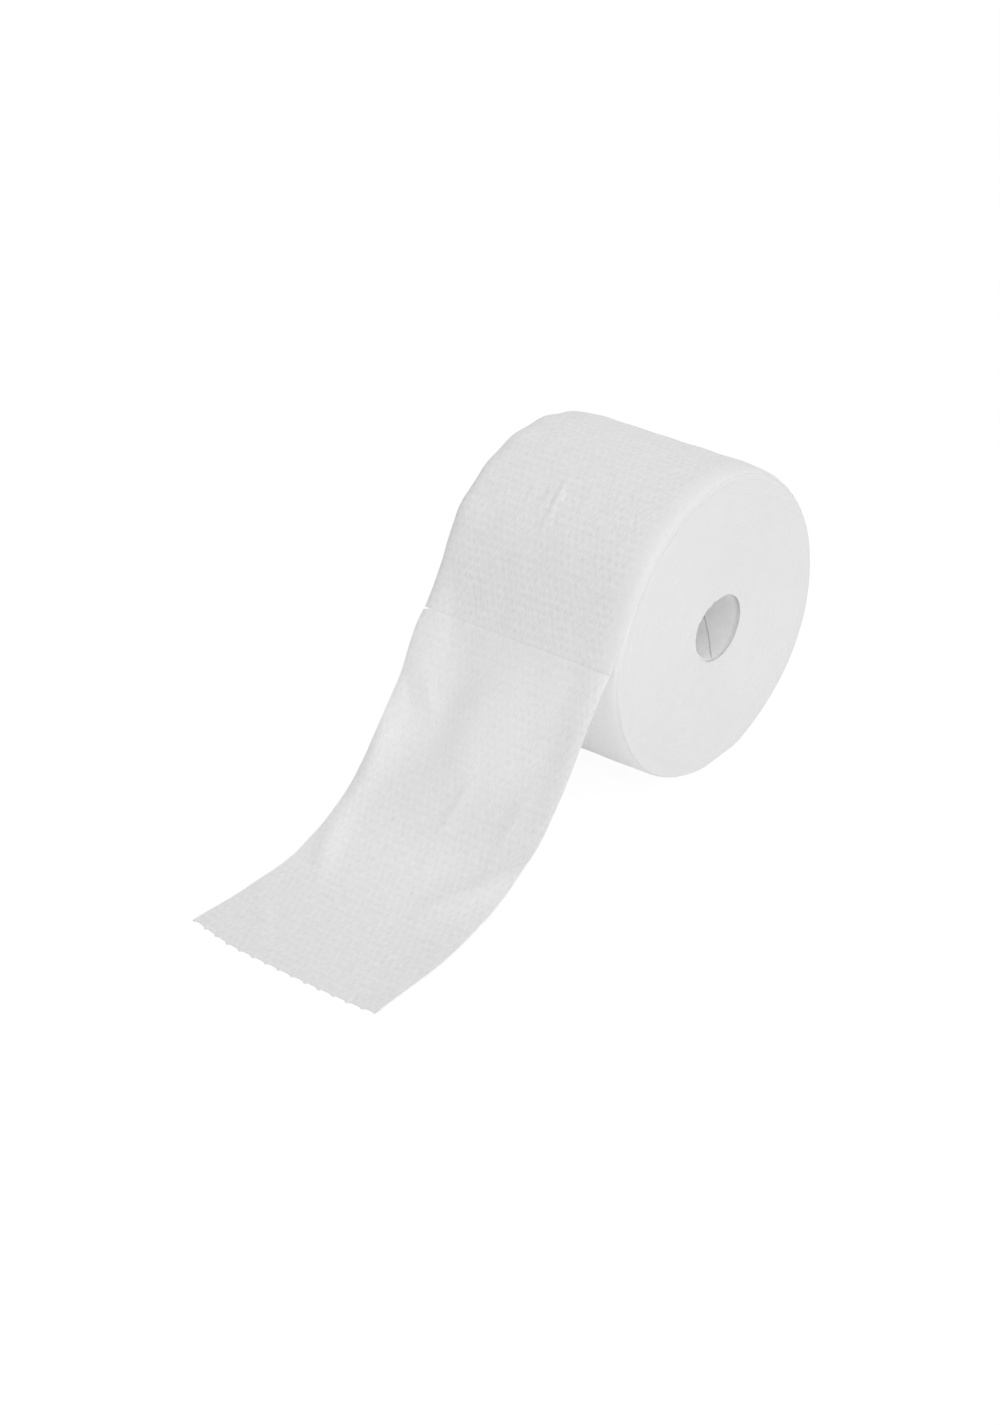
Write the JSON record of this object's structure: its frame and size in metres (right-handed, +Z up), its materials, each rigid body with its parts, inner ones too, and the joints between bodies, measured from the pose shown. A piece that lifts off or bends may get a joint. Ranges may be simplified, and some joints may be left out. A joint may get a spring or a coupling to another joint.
{
  "type": "disposable face towel roll",
  "caption": "Soft white roll of embossed face towel on a paper core, lying on its side, with its last sheet pulled off the front and laid on the floor.",
  "frame": {"origin": "on the core's axis, midway between the roll's two ends", "axes": "+X runs along the core's axis, -Y is the front, where the loose sheet lies, and +Z is up; the roll rests on a flat spot 77 mm below the origin"},
  "size_m": [0.114, 0.325, 0.1549],
  "materials": {
    "towel": "matt white nonwoven, embossed with small pearls in staggered rows",
    "core": "uncoated light grey spiral-wound paper"
  },
  "bodies": {
    "root": {"towel_web": "towel", "core_tube": "core"}
  },
  "joints": []
}
